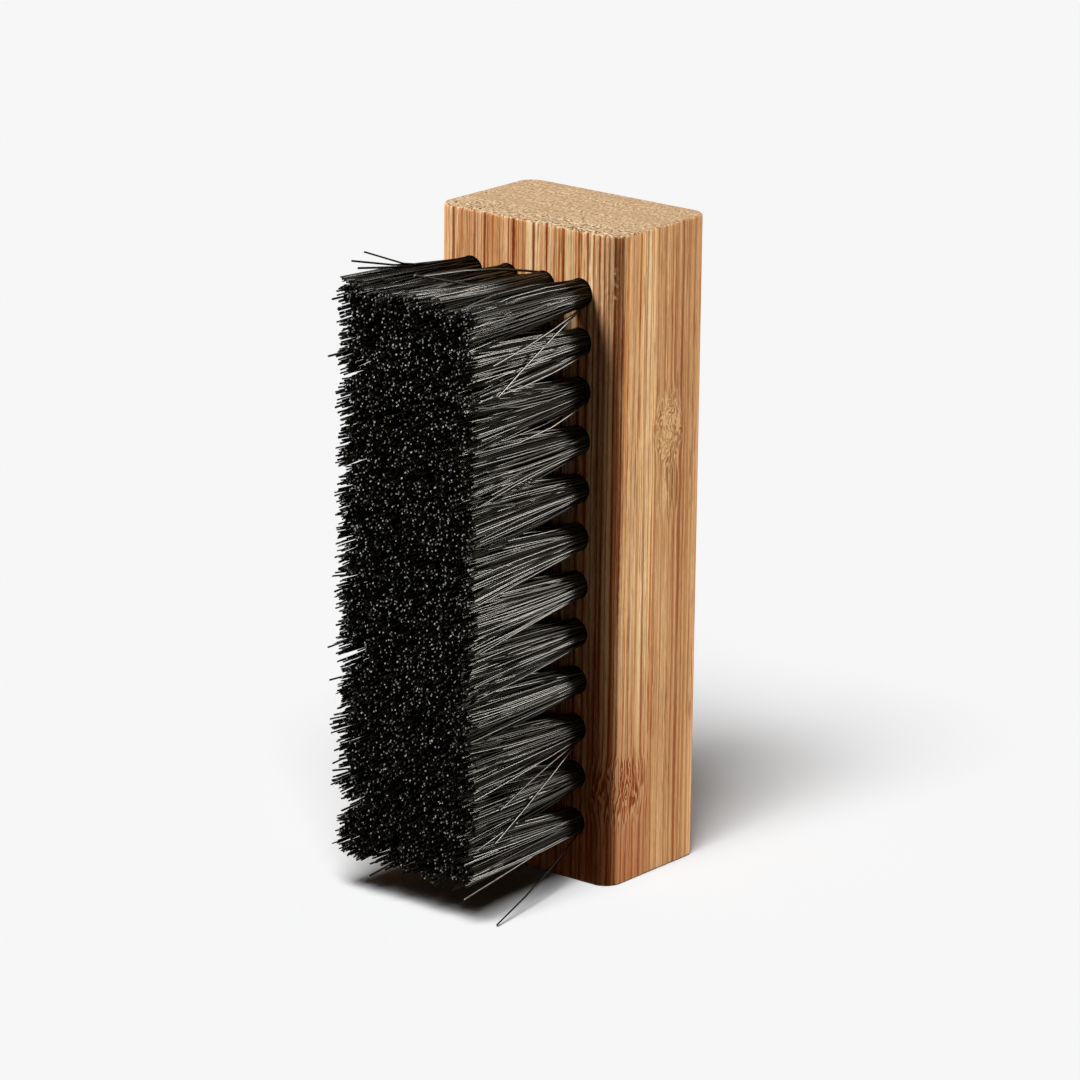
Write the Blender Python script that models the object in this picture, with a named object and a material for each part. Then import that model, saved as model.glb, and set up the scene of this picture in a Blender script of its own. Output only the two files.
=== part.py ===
"""Shoe brush: tufts of black filament set in a block glued up from bamboo strips.

Metres, +Z up. The brush stands on one end of its block. The origin is the centre of
that end, +Z runs along the block's length, and the bristles point along -Y.
"""

import math
import random

import bmesh
import bpy
from mathutils import Matrix, Vector

# Block
BLOCK_LENGTH = 0.120
BLOCK_WIDTH = 0.0412
EDGE_RADIUS = 0.0034
END_BEVEL = 0.0006
EDGE_STEPS = 6
END_STEPS = 2

# Layers of the block, from the bristle side to the back
FRONT_LAYER = 0.0114
MIDDLE_LAYER = 0.0083
BACK_LAYER = 0.0065
GLUE_LINE = 0.0001

# Strips: the front two meet between the tufts' middle columns. The other layers each
# have one whole strip between two that the block's sides cut, the back one off centre.
FRONT_SEAM = 0.0
MIDDLE_STRIP_WIDTH = 0.0206
BACK_STRIP_WIDTH = 0.0206
BACK_STRIP_SHIFT = -0.0041

# Holes for the tufts
ROWS = 12
COLUMNS = 4
END_MARGIN = 0.01105
SIDE_MARGIN = 0.0082
HOLE_RADIUS = 0.00265
HOLE_DEPTH = 0.009
HOLE_SIDES = 12

# Tufts: a folded root in its hole, and the strands that fan out of it
BRISTLE_LENGTH = 0.032
ROOT_CLEARANCE = 0.0003
ROOT_STANDOUT = 0.0012
ROOT_SIDES = 8
INNER_STRANDS = 3
OUTER_STRANDS = 7
STRAND_SIDES = 3
STRAND_TIP_RADIUS = 0.0008
STRAND_GAP = 0.00015
STRAND_SUNK = 0.0008
INNER_REACH = 0.45
TRIM_SCATTER = 0.0007
TIP_SCATTER = 0.0002
SEED = 4112

# Flat wire anchor across each root
ANCHOR_WIDTH = 0.0016
ANCHOR_THICKNESS = 0.0005
ANCHOR_DEPTH = 0.0022
ANCHOR_CLEARANCE = 0.0001

# How far a cutter runs past what it cuts
OVERCUT = 0.002

BAMBOO_ROUGHNESS = 0.5
FILAMENT_ROUGHNESS = 0.35
FRONT_BAMBOO_COLOUR = (0.52, 0.27, 0.10)
MIDDLE_BAMBOO_COLOUR = (0.58, 0.32, 0.13)
BACK_BAMBOO_COLOUR = (0.55, 0.29, 0.11)
FILAMENT_BLACK_COLOUR = (0.012, 0.011, 0.010)

BLOCK_DEPTH = FRONT_LAYER + MIDDLE_LAYER + BACK_LAYER + 2 * GLUE_LINE
BRISTLE_FACE = -BLOCK_DEPTH / 2
ROW_PITCH = (BLOCK_LENGTH - 2 * END_MARGIN) / (ROWS - 1)
COLUMN_PITCH = (BLOCK_WIDTH - 2 * SIDE_MARGIN) / (COLUMNS - 1)
ROOT_RADIUS = HOLE_RADIUS - ROOT_CLEARANCE


def clear_scene():
    for old in list(bpy.data.objects):
        bpy.data.objects.remove(old, do_unlink=True)


def new_collection(name):
    collection = bpy.data.collections.new(name)
    bpy.context.scene.collection.children.link(collection)
    return collection


def new_material(name, colour, roughness):
    material = bpy.data.materials.new(name)
    material.use_nodes = True
    material.diffuse_color = (*colour, 1.0)
    surface = material.node_tree.nodes["Principled BSDF"]
    surface.inputs["Base Color"].default_value = (*colour, 1.0)
    surface.inputs["Roughness"].default_value = roughness
    surface.inputs["Metallic"].default_value = 0.0
    return material


def new_object(name, form, collection, place, parent):
    """A mesh object made from form, with round faces smooth and corners sharp."""
    mesh = bpy.data.meshes.new(name)
    form.to_mesh(mesh)
    form.free()
    mesh.shade_smooth()
    mesh.set_sharp_from_angle(angle=math.radians(40))
    thing = bpy.data.objects.new(name, mesh)
    collection.objects.link(thing)
    thing.parent = parent
    thing.location = place
    return thing


def new_cutter(name, form, collection, place, parent):
    cutter = new_object(name, form, collection, place, parent)
    cutter.display_type = "WIRE"
    cutter.hide_render = True
    return cutter


def add_boolean(thing, operation, other):
    cut = thing.modifiers.new(operation.lower(), "BOOLEAN")
    cut.operation = operation
    cut.solver = "EXACT"
    cut.object = other


def add_box(form, low, high):
    """Adds a box between two corners to form."""
    low = Vector(low)
    high = Vector(high)
    size = Matrix.Diagonal((*(high - low), 1.0))
    place = Matrix.Translation((low + high) / 2)
    bmesh.ops.create_cube(form, size=1.0, matrix=place @ size)


def add_round(form, sides, radii, start, end, towards):
    """Adds a prism from start to end, with one corner of its outline towards a side."""
    along = (end - start).normalized()
    corner = (towards - towards.dot(along) * along).normalized()
    side = corner.cross(along)
    turn = Matrix((side, corner, along)).transposed().to_4x4()
    bmesh.ops.create_cone(
        form,
        cap_ends=True,
        segments=sides,
        radius1=radii[0],
        radius2=radii[1],
        depth=(end - start).length,
        matrix=Matrix.Translation((start + end) / 2) @ turn,
    )


def block_form():
    """The whole block about its centre: rounded long edges, lightly broken end edges."""
    form = bmesh.new()
    corner = Vector((BLOCK_WIDTH, BLOCK_DEPTH, BLOCK_LENGTH)) / 2
    add_box(form, -corner, corner)
    long_edges = [e for e in form.edges if is_upright(e)]
    bmesh.ops.bevel(
        form,
        geom=long_edges,
        offset=EDGE_RADIUS,
        segments=EDGE_STEPS,
        profile=0.5,
        affect="EDGES",
    )
    end_edges = [e for e in form.edges if is_end_edge(e)]
    bmesh.ops.bevel(
        form,
        geom=end_edges,
        offset=END_BEVEL,
        segments=END_STEPS,
        profile=0.5,
        affect="EDGES",
    )
    return form


def is_upright(edge):
    along = edge.verts[1].co - edge.verts[0].co
    return abs(along.normalized().z) > 0.99


def is_end_edge(edge):
    middle = (edge.verts[0].co.z + edge.verts[1].co.z) / 2
    return abs(middle) > BLOCK_LENGTH / 2 - END_BEVEL / 2


def strip_zones(seams):
    """The left and right limits of each strip of a layer with these seams."""
    past = BLOCK_WIDTH / 2 + OVERCUT
    lefts = [-past] + [x + GLUE_LINE / 2 for x in seams]
    rights = [x - GLUE_LINE / 2 for x in seams] + [past]
    return list(zip(lefts, rights))


def hole_centres():
    """(row, column, x, z) of each hole, rows counted from the foot."""
    for row in range(ROWS):
        for column in range(COLUMNS):
            x = -BLOCK_WIDTH / 2 + SIDE_MARGIN + column * COLUMN_PITCH
            z = END_MARGIN + row * ROW_PITCH
            yield row, column, x, z


def make_drill(collection, base):
    """All the holes as one cutter, each with its flats outside the round hole."""
    form = bmesh.new()
    radius = HOLE_RADIUS / math.cos(math.pi / HOLE_SIDES)
    for _, _, x, z in hole_centres():
        mouth = Vector((x, BRISTLE_FACE - OVERCUT, z))
        floor = Vector((x, BRISTLE_FACE + HOLE_DEPTH, z))
        add_round(form, HOLE_SIDES, (radius, radius), mouth, floor, Vector((0, 0, 1)))
    return new_cutter("hole_drill", form, collection, (0, 0, 0), base)


def make_layer(name, seams, front, back, paint, parts, cutters, base, drill):
    """The strips of one layer, cut from the block between two planes."""
    for number, (left, right) in enumerate(strip_zones(seams), 1):
        zone = bmesh.new()
        low = (left, front, -OVERCUT)
        high = (right, back, BLOCK_LENGTH + OVERCUT)
        add_box(zone, low, high)
        title = f"{name}_strip_{number}"
        middle = (0, 0, BLOCK_LENGTH / 2)
        strip = new_object(title, block_form(), parts, middle, base)
        strip.data.materials.append(paint)
        limit = new_cutter(f"{title}_zone", zone, cutters, (0, 0, 0), base)
        add_boolean(strip, "INTERSECT", limit)
        if front < BRISTLE_FACE + HOLE_DEPTH:
            add_boolean(strip, "DIFFERENCE", drill)


def make_block(parts, cutters, base):
    """Three layers from the bristle side to the back, a glue line apart."""
    drill = make_drill(cutters, base)
    middle_seams = (-MIDDLE_STRIP_WIDTH / 2, MIDDLE_STRIP_WIDTH / 2)
    back_left = BACK_STRIP_SHIFT - BACK_STRIP_WIDTH / 2
    back_seams = (back_left, back_left + BACK_STRIP_WIDTH)
    layers = (
        ("front", (FRONT_SEAM,), FRONT_LAYER, FRONT_BAMBOO_COLOUR),
        ("middle", middle_seams, MIDDLE_LAYER, MIDDLE_BAMBOO_COLOUR),
        ("back", back_seams, BACK_LAYER, BACK_BAMBOO_COLOUR),
    )
    front = BRISTLE_FACE
    for number, (name, seams, thickness, colour) in enumerate(layers):
        back = front + thickness
        paint = new_material(f"{name}_bamboo", colour, BAMBOO_ROUGHNESS)
        low = front - OVERCUT if number == 0 else front
        high = back + OVERCUT if number == len(layers) - 1 else back
        make_layer(name, seams, low, high, paint, parts, cutters, base, drill)
        front = back + GLUE_LINE


def root_flats():
    """The distance of the root's flat sides from its axis."""
    return ROOT_RADIUS * math.cos(math.pi / ROOT_SIDES)


def foot_radius():
    """The widest strand foot whose two rings fit on the root with their gaps.

    Each strand has a corner outwards, so half its radius lies on its inner side. Out from
    the tuft's axis come the inner ring at radius + gap, its corners one radius further, the
    gap, the outer ring, one and a half radii deep, and another gap.
    """
    return (root_flats() - 3 * STRAND_GAP) / 3.5


def square_reach(angle):
    """How far a square of half side 1 with soft corners reaches at an angle."""
    spread = math.cos(angle) ** 4 + math.sin(angle) ** 4
    return spread**-0.25


def strand_lines(draw):
    """(foot, tip, outwards) of each strand of a tuft, from the centre of its hole's mouth.

    The feet lie in two rings and the tips in two soft squares that fill the tuft's share
    of the brush face, at the same angles, so that no two strands cross.
    """
    radius = foot_radius()
    margin = STRAND_TIP_RADIUS + STRAND_GAP + TIP_SCATTER
    half_x = COLUMN_PITCH / 2 - margin
    half_z = ROW_PITCH / 2 - margin
    rings = (
        (INNER_STRANDS, radius + STRAND_GAP, INNER_REACH),
        (OUTER_STRANDS, root_flats() - radius - STRAND_GAP, 1.0),
    )
    for count, ring, reach in rings:
        first = draw.uniform(0.0, 2 * math.pi)
        for k in range(count):
            angle = first + 2 * math.pi * k / count
            outwards = Vector((math.cos(angle), 0.0, math.sin(angle)))
            spread = reach * square_reach(angle)
            foot = outwards * ring + Vector((0, -ROOT_STANDOUT + STRAND_SUNK, 0))
            tip = Vector((outwards.x * spread * half_x, 0, outwards.z * spread * half_z))
            tip.x += draw.uniform(-TIP_SCATTER, TIP_SCATTER)
            tip.z += draw.uniform(-TIP_SCATTER, TIP_SCATTER)
            tip.y = -BRISTLE_LENGTH + draw.uniform(-TRIM_SCATTER, TRIM_SCATTER)
            yield foot, tip, outwards


def root_form():
    """The folded root: a plug from just outside the mouth to just above the hole's floor."""
    form = bmesh.new()
    mouth = Vector((0, -ROOT_STANDOUT, 0))
    floor = Vector((0, HOLE_DEPTH - ROOT_CLEARANCE, 0))
    half_side = math.pi / ROOT_SIDES
    corner = Vector((math.sin(half_side), 0, math.cos(half_side)))
    add_round(form, ROOT_SIDES, (ROOT_RADIUS, ROOT_RADIUS), mouth, floor, corner)
    return form


def root_extras(draw):
    """The strands and the anchor, which are joined to the root."""
    form = bmesh.new()
    radii = (foot_radius(), STRAND_TIP_RADIUS)
    for foot, tip, outwards in strand_lines(draw):
        add_round(form, STRAND_SIDES, radii, foot, tip, outwards)
    reach = HOLE_RADIUS - ANCHOR_CLEARANCE
    front = HOLE_DEPTH - ANCHOR_DEPTH - ANCHOR_WIDTH / 2
    low = (-ANCHOR_THICKNESS / 2, front, -reach)
    high = (ANCHOR_THICKNESS / 2, front + ANCHOR_WIDTH, reach)
    add_box(form, low, high)
    return form


def make_tufts(parts, cutters, base):
    """One tuft for each hole."""
    paint = new_material("black_filament", FILAMENT_BLACK_COLOUR, FILAMENT_ROUGHNESS)
    for row, column, x, z in hole_centres():
        draw = random.Random(SEED + row * COLUMNS + column)
        title = f"tuft_row{row + 1:02d}_col{column + 1}"
        mouth = (x, BRISTLE_FACE, z)
        tuft = new_object(title, root_form(), parts, mouth, base)
        tuft.data.materials.append(paint)
        extras = new_cutter(f"{title}_strands", root_extras(draw), cutters, mouth, base)
        add_boolean(tuft, "UNION", extras)


def main():
    clear_scene()
    parts = new_collection("shoe_brush")
    cutters = new_collection("cutters")
    base = bpy.data.objects.new("brush_base", None)
    parts.objects.link(base)
    make_block(parts, cutters, base)
    make_tufts(parts, cutters, base)


main()
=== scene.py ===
# %% [markdown]
# # A shoe brush, cell by cell
# The real brush is a bamboo block glued up from eight boards, with forty-eight tufts of stiff black
# filament set in drilled holes. It stands on one end of the block.
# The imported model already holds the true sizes, so this lesson loads it first and only dresses it.
# Everything below is in metres in the same frame, with Z up and the bristles pointing along minus Y.

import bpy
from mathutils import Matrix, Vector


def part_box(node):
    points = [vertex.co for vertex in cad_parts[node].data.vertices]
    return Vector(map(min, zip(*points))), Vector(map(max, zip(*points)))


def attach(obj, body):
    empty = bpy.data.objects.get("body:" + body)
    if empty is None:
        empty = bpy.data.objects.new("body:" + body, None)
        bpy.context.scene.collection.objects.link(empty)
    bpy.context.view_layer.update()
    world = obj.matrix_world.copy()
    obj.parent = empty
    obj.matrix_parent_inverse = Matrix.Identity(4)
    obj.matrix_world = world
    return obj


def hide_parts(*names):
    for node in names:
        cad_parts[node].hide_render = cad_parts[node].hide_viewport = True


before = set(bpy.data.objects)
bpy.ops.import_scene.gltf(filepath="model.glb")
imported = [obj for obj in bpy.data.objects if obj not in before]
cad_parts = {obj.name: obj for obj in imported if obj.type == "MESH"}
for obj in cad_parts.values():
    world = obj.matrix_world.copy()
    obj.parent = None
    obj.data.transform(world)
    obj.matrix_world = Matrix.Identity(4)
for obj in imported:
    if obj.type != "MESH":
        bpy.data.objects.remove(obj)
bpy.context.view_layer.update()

# %% Tools and units
import math

import bmesh
import bpy
import numpy as np
from mathutils import Matrix, Vector, noise as smooth_noise

MM = 0.001


def corners_mm(node):
    """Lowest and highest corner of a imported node, in millimetres."""
    low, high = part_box(node)
    return Vector(low) / MM, Vector(high) / MM


def add_object(name, data):
    """A new object in the scene's main collection."""
    made = bpy.data.objects.new(name, data)
    bpy.context.scene.collection.objects.link(made)
    return made


def direction(azimuth, elevation):
    """Unit vector from the brush towards an azimuth (0 is minus Y, 90 is plus X) and elevation."""
    turn, lift = math.radians(azimuth), math.radians(elevation)
    return Vector((math.sin(turn) * math.cos(lift), -math.cos(turn) * math.cos(lift), math.sin(lift)))


BOARDS = [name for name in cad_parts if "_strip_" in name]
TUFTS = [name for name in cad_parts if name.startswith("tuft_")]
BLOCK_LOW = Vector([min(corners_mm(board)[0][axis] for board in BOARDS) for axis in range(3)])
BLOCK_HIGH = Vector([max(corners_mm(board)[1][axis] for board in BOARDS) for axis in range(3)])
print(len(BOARDS), "boards and", len(TUFTS), "tufts to dress")
print("block from", tuple(BLOCK_LOW), "to", tuple(BLOCK_HIGH), "mm")

# %% [markdown]
# ## The camera
# The photograph was taken from about a metre away with a long lens, so the block's edges hardly
# converge. One could place a camera by eye. Here its angle, distance, roll and focal length are the
# ones that make the block's twelve edges fall on the edges seen in the photograph.

# %% Place the camera
VIEW_AZIMUTH, VIEW_ELEVATION, VIEW_ROLL = 38.88, 16.65, 0.68
VIEW_DISTANCE = 1038 * MM
AIM_HEIGHT = 60 * MM
SLIDE_RIGHT, SLIDE_UP = -5.185 * MM, -1.536 * MM
SENSOR_MM, LENS_MM = 36.0, 191.87


def camera_axes():
    """The camera's right, up and backward directions, with its small roll."""
    backward = direction(VIEW_AZIMUTH, VIEW_ELEVATION)
    level = Vector((0, 0, 1)).cross(backward).normalized()
    upright = backward.cross(level)
    roll = math.radians(VIEW_ROLL)
    rightward = level * math.cos(roll) + upright * math.sin(roll)
    return rightward, backward.cross(rightward), backward


right_of_view, up_of_view, back_of_view = camera_axes()
camera = add_object("view_camera", bpy.data.cameras.new("view_camera"))
camera.data.sensor_width = SENSOR_MM
camera.data.lens = LENS_MM
camera.location = (
    Vector((0, 0, AIM_HEIGHT))
    + back_of_view * VIEW_DISTANCE
    + right_of_view * SLIDE_RIGHT
    + up_of_view * SLIDE_UP
)
camera.rotation_euler = Matrix((right_of_view, up_of_view, back_of_view)).transposed().to_euler()
bpy.context.scene.camera = camera
bpy.context.scene.view_settings.view_transform = "Standard"
print("camera at", [round(value, 4) for value in camera.location])

# %% [markdown]
# ## Shader helpers
# Every finish here is built from nodes. Wiring them by hand takes four lines a node, so a few small
# helpers add a node, fill its sockets with numbers or links, and give back what it puts out.

# %% Helpers that add nodes


def paint(red, green, blue):
    """A colour as seen on screen, 0 to 255, turned into the linear values that shaders use."""
    shares = [value / 255 for value in (red, green, blue)]
    linear = [s / 12.92 if s <= 0.04045 else ((s + 0.055) / 1.055) ** 2.4 for s in shares]
    return (*linear, 1.0)


def fill_sockets(tree, made, inputs):
    """Links or fills the input sockets of a node, given as name or number: value."""
    for name, value in inputs.items():
        if isinstance(value, bpy.types.NodeSocket):
            tree.links.new(value, made.inputs[name])
        else:
            made.inputs[name].default_value = value


def add_node(tree, kind, inputs=None, **settings):
    """Adds a node, sets its settings, and fills the sockets named in inputs."""
    made = tree.nodes.new(kind)
    for name, value in settings.items():
        setattr(made, name, value)
    fill_sockets(tree, made, inputs or {})
    return made


def sums(tree, operation, first, second=0.0, clamp=False):
    """A Math node with two inputs."""
    inputs = {0: first, 1: second}
    return add_node(tree, "ShaderNodeMath", inputs, operation=operation, use_clamp=clamp).outputs[0]


def times(tree, first, second, clamp=False):
    """First times second."""
    return sums(tree, "MULTIPLY", first, second, clamp)


def plus(tree, first, second, clamp=False):
    """First plus second."""
    return sums(tree, "ADD", first, second, clamp)


def minus(tree, first, second):
    """First less second."""
    return sums(tree, "SUBTRACT", first, second)


def vector_sums(tree, operation, first, second):
    """A Vector Math node with two inputs."""
    return add_node(tree, "ShaderNodeVectorMath", {0: first, 1: second}, operation=operation).outputs[0]


def vector_of(tree, x, y=0.0, z=0.0):
    """A vector put together from three numbers or links."""
    return add_node(tree, "ShaderNodeCombineXYZ", {"X": x, "Y": y, "Z": z}).outputs[0]


def parts_of(tree, vector):
    """The X, Y and Z of a vector."""
    return add_node(tree, "ShaderNodeSeparateXYZ", {0: vector}).outputs


def scaled_by(tree, vector, amount):
    """A vector made longer by a number or link."""
    inputs = {0: vector, "Scale": amount}
    return add_node(tree, "ShaderNodeVectorMath", inputs, operation="SCALE").outputs[0]


def place_in_mm(tree):
    """Where the surface is, in millimetres."""
    return scaled_by(tree, add_node(tree, "ShaderNodeTexCoord").outputs["Object"], 1 / MM)


def step_between(tree, value, low, high, to_low=0.0, to_high=1.0):
    """A smooth step from to_low at low up or down to to_high at high."""
    inputs = {"Value": value, "From Min": low, "From Max": high, "To Min": to_low, "To Max": to_high}
    return add_node(tree, "ShaderNodeMapRange", inputs, interpolation_type="SMOOTHSTEP").outputs[0]


def noise_at(tree, place, scale, detail=2.0, roughness=0.5):
    """Soft noise between 0 and 1 at a place in millimetres, with scale as (x, y, z) per millimetre."""
    scaled = vector_sums(tree, "MULTIPLY", place, scale)
    inputs = {"Vector": scaled, "Scale": 1.0, "Detail": detail, "Roughness": roughness}
    return add_node(tree, "ShaderNodeTexNoise", inputs).outputs[0]


def noise_mask(tree, place, scale, detail, roughness, low, high):
    """Soft noise turned into a mask that rises from 0 at low to 1 at high."""
    return step_between(tree, noise_at(tree, place, scale, detail, roughness), low, high)


def mix_colours(tree, share, first, second, blend="MIX"):
    """Colour first turned into second by share, or combined with it by another blend."""
    made = add_node(tree, "ShaderNodeMix", data_type="RGBA", blend_type=blend)
    fill_sockets(tree, made, {0: share, 6: first, 7: second})
    return made.outputs[2]


def laid_over(tree, colour, mask, share, tone):
    """The colour with a screen tone laid over it, as strongly as the mask times the share."""
    return mix_colours(tree, times(tree, mask, share), colour, paint(*tone))


def begin_group(name, inputs, outputs):
    """A node group with named inputs, given as name: default, and named outputs."""
    tree = bpy.data.node_groups.new(name, "ShaderNodeTree")
    for socket, default in inputs.items():
        kind = "NodeSocketVector" if isinstance(default, tuple) else "NodeSocketFloat"
        tree.interface.new_socket(socket, in_out="INPUT", socket_type=kind).default_value = default
    for socket in outputs:
        tree.interface.new_socket(socket, in_out="OUTPUT", socket_type="NodeSocketFloat")
    return tree, tree.nodes.new("NodeGroupInput").outputs, tree.nodes.new("NodeGroupOutput")


def end_group(tree, group_output, results):
    """Links the results, given as name: socket, to the group's outputs."""
    for name, socket in results.items():
        tree.links.new(socket, group_output.inputs[name])
    return tree


def use_group(tree, group, inputs):
    """Places a node group in a material with its own values and returns its outputs."""
    made = add_node(tree, "ShaderNodeGroup", node_tree=group)
    fill_sockets(tree, made, inputs)
    return made.outputs


def begin_material(name):
    """A material with an empty tree, a Principled BSDF and its output."""
    material = bpy.data.materials.new(name)
    material.use_nodes = True
    tree = material.node_tree
    tree.nodes.clear()
    shader = tree.nodes.new("ShaderNodeBsdfPrincipled")
    output = tree.nodes.new("ShaderNodeOutputMaterial")
    tree.links.new(shader.outputs[0], output.inputs["Surface"])
    return material, tree, shader


print("shader helpers ready")

# %% [markdown]
# ## Light
# The photograph has one soft key light in front of the brush, high up and a little to the left,
# which leaves the wood right of the bristles in their shadow. Wide suns light the whole object
# evenly, where lamps near it would leave bright pools. A slightly warm light from the right and
# behind lights the long side face and draws the grey glints along the filament: a round strand
# shines where the light leans as far from its length as the eye does. Two weaker ones fill the
# right side and the sides that the photograph doesn't show.
# The floor has three lights of its own. Two high ones throw the soft shadow behind the block, and a
# third from beside the camera, whose own shadow the block hides, keeps the first from going black.

# %% Soft lights
STRENGTH_OF_PLAIN_WHITE = math.pi
WHITE, WARM = (1.0, 1.0, 1.0), (1.0, 0.965, 0.89)


def add_soft_light(name, azimuth, elevation, level, width, tint=WHITE):
    """A sun whose level of 1 shows a facing surface in its own colour; width is its angle in degrees."""
    lamp = bpy.data.lights.new(name, "SUN")
    lamp.energy = level * STRENGTH_OF_PLAIN_WHITE
    lamp.angle = math.radians(width)
    lamp.color = tint
    light = add_object(name, lamp)
    light.rotation_euler = direction(azimuth, elevation).to_track_quat("Z", "Y").to_euler()
    return light


key_light = add_soft_light("key_light", azimuth=-30, elevation=48, level=1.3, width=22)
side_light = add_soft_light("side_light", azimuth=84, elevation=8, level=0.09, width=16)
glint_light = add_soft_light("glint_light", azimuth=140, elevation=12, level=1.06, width=14, tint=WARM)
rear_light = add_soft_light("rear_light", azimuth=265, elevation=18, level=0.5, width=40)
floor_lights = [
    add_soft_light("floor_back_light", azimuth=5, elevation=57, level=0.42, width=20),
    add_soft_light("floor_top_light", azimuth=16, elevation=66, level=0.39, width=20),
    add_soft_light("floor_near_light", azimuth=37, elevation=52, level=0.43, width=20),
]
print("four soft lights for the object and three for the floor")

# %% [markdown]
# ## Floor and surroundings
# The background is an even pale grey. The floor is a large plain sheet whose colour gives that grey
# under its own lights, and what the camera sees of the surroundings has the same grey. Seen by light
# that bounces, both are dim and a little warm, because the photograph's deep shadows on the wood
# show that little light came back from below.

# %% Floor and world
FLOOR_SIZE = 12.0
PALE_GREY = paint(247, 247, 247)
FLOOR_SEEN = (0.868, 0.875, 0.882, 1.0)
FLOOR_BOUNCE = (0.08, 0.04, 0.02, 1.0)
DIM_SURROUNDINGS = (0.021, 0.0115, 0.006, 1.0)


def seen_directly(tree):
    """1 for the camera, mirrors and glass, 0 for light that bounces."""
    path = tree.nodes.new("ShaderNodeLightPath").outputs
    seen = sums(tree, "MAXIMUM", path["Is Camera Ray"], path["Is Glossy Ray"])
    return sums(tree, "MAXIMUM", seen, path["Is Transmission Ray"])


def make_floor():
    """The pale floor, which keeps the shadow of the brush."""
    mesh = bpy.data.meshes.new("floor")
    half = FLOOR_SIZE / 2
    corners = [(-half, -half, 0), (half, -half, 0), (half, half, 0), (-half, half, 0)]
    mesh.from_pydata(corners, [], [(0, 1, 2, 3)])
    material, tree, shader = begin_material("pale_floor")
    colour = mix_colours(tree, seen_directly(tree), FLOOR_BOUNCE, FLOOR_SEEN)
    tree.links.new(colour, shader.inputs["Base Color"])
    shader.inputs["Roughness"].default_value = 1.0
    shader.inputs["Specular IOR Level"].default_value = 0.0
    mesh.materials.append(material)
    floor_sheet = add_object("floor", mesh)
    return floor_sheet


def make_surroundings():
    """A pale world for the eye that is dim for bounced light."""
    world = bpy.data.worlds.new("surroundings")
    world.use_nodes = True
    tree = world.node_tree
    colour = mix_colours(tree, seen_directly(tree), DIM_SURROUNDINGS, PALE_GREY)
    tree.links.new(colour, tree.nodes["Background"].inputs["Color"])
    bpy.context.scene.world = world


floor = make_floor()
make_surroundings()
for name, state, lights in (
    ("lit_by_floor_lights", "INCLUDE", floor_lights),
    ("not_lit_by_object_lights", "EXCLUDE", [key_light, side_light, glint_light, rear_light]),
):
    receivers = bpy.data.collections.new(name)
    receivers.objects.link(floor)
    receivers.collection_objects[0].light_linking.link_state = state
    for light in lights:
        light.light_linking.receiver_collection = receivers
print("floor", FLOOR_SIZE, "m wide")

# %% [markdown]
# ## Bamboo: fibre lines
# Bamboo has no year rings. It is a pale ground with bundles of brown fibre that all run along the
# stem. Cut lengthwise, a bundle shows as a long thin line, so the pattern is noise that changes fast
# across the board and hardly at all along it. Cut across, the same bundles are dots.
# Working in solid space carries a line round the rounded corner without a break.
# A pattern is given as its noise's rate per millimetre along X, Y and Z, the noise's detail and
# roughness, and the levels of the noise at which its mask starts and is full.

# %% Group for fibre lines
LINE_DRIFT = 1.1
DRIFT_RATE, LINE_RATE = (0.12, 0.12, 0.022), 0.009
RAGGED_RATE, HAIR_RATE = (3.0, 3.0, 0.09), (7.0, 7.0, 0.4)
LINE_RAGGED, LINE_SOFT = 0.14, 0.04
FAINTEST_LINE = 0.3
PATTERNS = {
    "Tone": ((1.9, 1.9, 0.009), 5.0, 0.75, 0.41, 0.59),
    "Bands": ((0.34, 0.34, 0.005), 1.0, 0.5, 0.42, 0.58),
    "Threads": ((3.4, 3.4, 0.016), 2.0, 0.6, 0.555, 0.585),
    "Clusters": ((0.35, 0.35, 0.03), 1.0, 0.5, 0.42, 0.58),
    "Dashes": ((4.0, 4.0, 0.11), 1.5, 0.6, 0.56, 0.62),
}


def make_fibre_lines():
    """Fine and broad tones, thick bundles, thin threads, short dashes and hairs along Z."""
    inputs = {"Place": (0.0, 0.0, 0.0), "Spacing": 1.4, "Width": 0.24, "Seed": 0.0}
    outputs = ["Tone", "Bands", "Lines", "Threads", "Dashes", "Hairs"]
    tree, given, results = begin_group("fibre lines", inputs, outputs)
    seed = vector_of(tree, given["Seed"], given["Seed"], given["Seed"])
    far = vector_sums(tree, "MULTIPLY", seed, (31.7, 17.3, 53.9))
    place = vector_sums(tree, "ADD", given["Place"], far)
    drift = noise_at(tree, place, DRIFT_RATE, 1.0)
    drift = times(tree, minus(tree, drift, 0.5), LINE_DRIFT)
    place = vector_sums(tree, "ADD", place, vector_of(tree, drift, drift))
    found = {name: noise_mask(tree, place, *values) for name, values in PATTERNS.items()}
    found["Dashes"] = times(tree, found["Dashes"], found.pop("Clusters"))
    found["Hairs"] = noise_at(tree, place, HAIR_RATE, 3.0, 0.7)
    rate = sums(tree, "DIVIDE", 1.0, given["Spacing"])
    scaled = vector_sums(tree, "MULTIPLY", place, vector_of(tree, rate, rate, LINE_RATE))
    bundle = add_node(tree, "ShaderNodeTexVoronoi", {"Vector": scaled, "Scale": 1.0})
    ragged = noise_at(tree, place, RAGGED_RATE)
    distance = plus(tree, bundle.outputs["Distance"], times(tree, ragged, LINE_RAGGED))
    width = plus(tree, given["Width"], LINE_RAGGED / 2)
    lines = step_between(tree, distance, width, plus(tree, width, LINE_SOFT), 1.0, 0.0)
    own = add_node(tree, "ShaderNodeSeparateColor", {0: bundle.outputs["Color"]}).outputs[0]
    found["Lines"] = times(tree, lines, step_between(tree, own, 0.0, 1.0, FAINTEST_LINE, 1.0))
    return end_group(tree, results, found)


fibre_lines = make_fibre_lines()
print("group", fibre_lines.name)

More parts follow.
